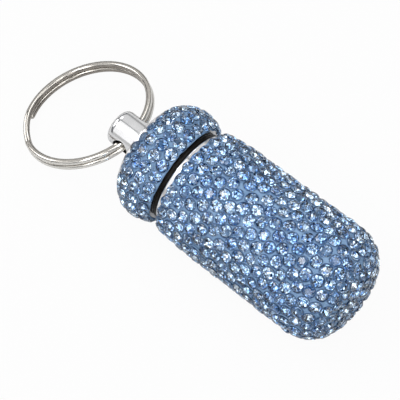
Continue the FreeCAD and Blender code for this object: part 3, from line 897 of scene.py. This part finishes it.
def make_split_ring(nickel):
    """Two coils of rounded flat wire: one unbroken strand that steps from the upper coil to the lower."""
    mount = next(m for m in frame["record"]["mounts"] if m["name"] == "key_loop")
    middle = np.array(mount["pos_m"])
    up = np.array(mount["axis"])
    aside = np.array((0, -1, 0))
    far = np.cross(aside, up)
    turns = wire_turns()
    share = np.clip((turns - JOG_START) / (JOG_END - JOG_START), 0, 1)
    eased = share * share * (3 - 2 * share)
    level = (WIRE_HEIGHT + COIL_GAP) / 2 * (1 - 2 * eased)
    points = []
    places = []
    for turn, height in zip(turns, level):
        angle = math.radians(turn)
        outwards = math.cos(angle) * far + math.sin(angle) * aside
        section = wire_section(wire_inset(turn))
        for reach, rise in section:
            points.append(middle + (COIL_RADIUS + reach) * outwards + (height + rise) * up)
            places.append((angle * COIL_RADIUS, reach, rise))
    sides = len(section)
    rings = len(turns)
    faces = grid_faces(rings, sides)[:-sides]
    faces.append(tuple(range(sides)))
    faces.append(tuple(reversed(range((rings - 1) * sides, rings * sides))))
    piece = make_piece("key_ring", points, faces, "ring", "nickel_steel", nickel)
    piece.data.shade_smooth()
    along = piece.data.attributes.new("wire_place", "FLOAT_VECTOR", "POINT")
    along.data.foreach_set("vector", np.array(places, dtype=np.float32).ravel())
    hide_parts("split_ring")


# Table, light and camera

def make_floor():
    """A white table top that keeps a faint shadow. The camera sees it almost plain white; in metal and
    glass a smaller share of it is plain white."""
    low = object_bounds()[0][2]
    ways = ((-1, -1), (1, -1), (1, 1), (-1, 1))
    corners = [(x * FLOOR_REACH, y * FLOOR_REACH, low) for x, y in ways]
    mesh = bpy.data.meshes.new("table_top")
    mesh.from_pydata(corners, [], [(0, 1, 2, 3)])
    floor = bpy.data.objects.new("table_top", mesh)
    bpy.context.scene.collection.objects.link(floor)
    material, nodes, links, shader = node_material("table_white")
    shader.inputs["Base Color"].default_value = (*FLOOR_COLOUR, 1)
    shader.inputs["Roughness"].default_value = FLOOR_ROUGHNESS
    path = nodes.new("ShaderNodeLightPath").outputs
    mirrored = arithmetic(nodes, links, "MAXIMUM", path["Is Glossy Ray"], path["Is Transmission Ray"])
    mirrored = arithmetic(nodes, links, "MULTIPLY", mirrored, FLOOR_MIRRORED)
    direct = arithmetic(nodes, links, "MULTIPLY", path["Is Camera Ray"], FLOOR_DIRECT)
    share = arithmetic(nodes, links, "MAXIMUM", direct, mirrored)
    white = nodes.new("ShaderNodeEmission")
    white.inputs["Strength"].default_value = PLAIN_WHITE
    mix = nodes.new("ShaderNodeMixShader")
    links.new(share, mix.inputs["Fac"])
    links.new(shader.outputs["BSDF"], mix.inputs[1])
    links.new(white.outputs["Emission"], mix.inputs[2])
    links.new(mix.outputs["Shader"], nodes["Material Output"].inputs["Surface"])
    mesh.materials.append(material)


def seam_value(nodes, links, way, axis, place, width):
    """0 on a seam of the tent, along one axis of the direction, and 1 elsewhere."""
    off = arithmetic(nodes, links, "SUBTRACT", way.outputs[axis], place)
    away = arithmetic(nodes, links, "ABSOLUTE", off, 0)
    return edge_value(nodes, links, away, width, SEAM_FADE * width)


def away_value(nodes, links, direction, centre, angle):
    """0 within an angle of a direction and 1 elsewhere."""
    made = nodes.new("ShaderNodeVectorMath")
    made.operation = "DOT_PRODUCT"
    made.inputs[1].default_value = Vector(centre).normalized()
    links.new(direction, made.inputs[0])
    return edge_value(nodes, links, made.outputs["Value"], math.cos(angle), math.cos(ANGLE_FADE * angle))


def opposite(nodes, links, value):
    """1 where a value is 0, and 0 where it is 1."""
    return arithmetic(nodes, links, "SUBTRACT", 1.0, value)


def panel_level(nodes, links, way, front):
    """The strength of the tent's panels: bright in front, grey behind and dim to the right."""
    level = arithmetic(nodes, links, "MULTIPLY", front, TENT_FRONT - TENT_BACK)
    level = arithmetic(nodes, links, "ADD", level, TENT_BACK)
    right = edge_value(nodes, links, way.outputs["X"], RIGHT_EDGE + TENT_FADE, RIGHT_EDGE)
    right = arithmetic(nodes, links, "MAXIMUM", right, TENT_RIGHT)
    return arithmetic(nodes, links, "MULTIPLY", level, right)


def dark_places(nodes, links, direction, way, front):
    """Values that are 0 where the tent is dark: its seams, one of them in the front panel alone, the
    camera's opening, and the horizon but for the board."""
    dark = [seam_value(nodes, links, way, *seam) for seam in TENT_SEAMS]
    front_seam = seam_value(nodes, links, way, *FRONT_SEAM)
    dark.append(arithmetic(nodes, links, "MAXIMUM", front_seam, opposite(nodes, links, front)))
    dark.append(away_value(nodes, links, direction, view_back(), OPENING_ANGLE))
    horizon = edge_value(nodes, links, way.outputs["Z"], HORIZON_LOW, HORIZON_HIGH)
    board = opposite(nodes, links, seam_value(nodes, links, way, *BOARD))
    board = arithmetic(nodes, links, "MULTIPLY", board, BOARD_SHARE)
    dark.append(arithmetic(nodes, links, "MAXIMUM", horizon, board))
    return dark


def make_world():
    """A light tent: panels of cloth, white where they are bright and navy where they are dark, with dark
    seams, an opening for the camera, a dark horizon and lamps behind the cloth."""
    world = bpy.data.worlds.new("studio")
    bpy.context.scene.world = world
    world.use_nodes = True
    nodes = world.node_tree.nodes
    links = world.node_tree.links
    direction = nodes.new("ShaderNodeTexCoord").outputs["Generated"]
    way = nodes.new("ShaderNodeSeparateXYZ")
    links.new(direction, way.inputs["Vector"])
    front = edge_value(nodes, links, way.outputs["Y"], TENT_EDGE, TENT_EDGE - TENT_FADE)
    level = panel_level(nodes, links, way, front)
    for shade in dark_places(nodes, links, direction, way, front):
        shade = arithmetic(nodes, links, "MAXIMUM", shade, TENT_DARK)
        level = arithmetic(nodes, links, "MULTIPLY", level, shade)
    for lamp in LAMP_WAYS:
        shine = opposite(nodes, links, away_value(nodes, links, direction, lamp, LAMP_ANGLE))
        shine = arithmetic(nodes, links, "MULTIPLY", shine, LAMP_STRENGTH)
        level = arithmetic(nodes, links, "ADD", level, shine)
    cloth = ramp(nodes, links, level, NAVY_CLOTH, WHITE_CLOTH)
    links.new(cloth, nodes["Background"].inputs["Color"])
    links.new(level, nodes["Background"].inputs["Strength"])


def make_softbox():
    """A square lamp that the camera doesn't see."""
    data = bpy.data.lights.new("key_softbox", "AREA")
    data.shape = "RECTANGLE"
    data.size = SOFTBOX_SIDE
    data.size_y = SOFTBOX_SIDE
    data.energy = SOFTBOX_POWER
    light = bpy.data.objects.new("key_softbox", data)
    bpy.context.scene.collection.objects.link(light)
    light.location = SOFTBOX_PLACE
    light.rotation_euler = (SOFTBOX_TARGET - SOFTBOX_PLACE).to_track_quat("-Z", "Y").to_euler()
    light.visible_camera = False


def view_back():
    """The direction from the part to the camera."""
    level = math.cos(VIEW_RISE)
    return Vector((math.sin(VIEW_TURN) * level, -math.cos(VIEW_TURN) * level, math.sin(VIEW_RISE)))


def make_camera():
    """The photograph's view: from above, the base to the lower right."""
    data = bpy.data.cameras.new("camera")
    data.sensor_width = VIEW_SENSOR
    data.lens = VIEW_LENS
    camera = bpy.data.objects.new("camera", data)
    bpy.context.scene.collection.objects.link(camera)
    camera.location = VIEW_TARGET + view_back() * VIEW_DISTANCE
    camera.rotation_euler = (-view_back()).to_track_quat("-Z", "Y").to_euler()
    bpy.context.scene.camera = camera


# The build

def set_material(node, material):
    """Gives its finish to a CAD node that is shown as it is."""
    for slot in frame["nodes"][node].material_slots:
        slot.material = material


def build():
    """Everything that belongs to the part."""
    aluminium = make_aluminium()
    set_material("vial", aluminium)
    set_material("cap_shell", aluminium)
    set_material("seal_ring", make_rubber())
    make_split_ring(make_nickel())
    finishes = (make_clay(), make_crystal(), make_foil())
    body_rows = BODY_ROWS + BASE_ROWS
    body_edges = BODY_ROWS[:1]
    dress("body_clay", "vial", body_rows, body_edges, GIRDLE_RADIUS, BODY_PAINTED_SHADE, body_profiles(), finishes)
    cap_edges = CAP_ROWS[:1] + CAP_ROWS[-1:]
    cap_skin = dress("cap_clay", "cap", CAP_ROWS, cap_edges, CAP_GIRDLE, CAP_PAINTED_SHADE, cap_profiles(), finishes)
    rub_edge(cap_skin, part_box("cap_clay")[1].x)


build()
make_floor()
make_world()
make_softbox()
make_camera()
bpy.context.scene.view_settings.view_transform = "Standard"
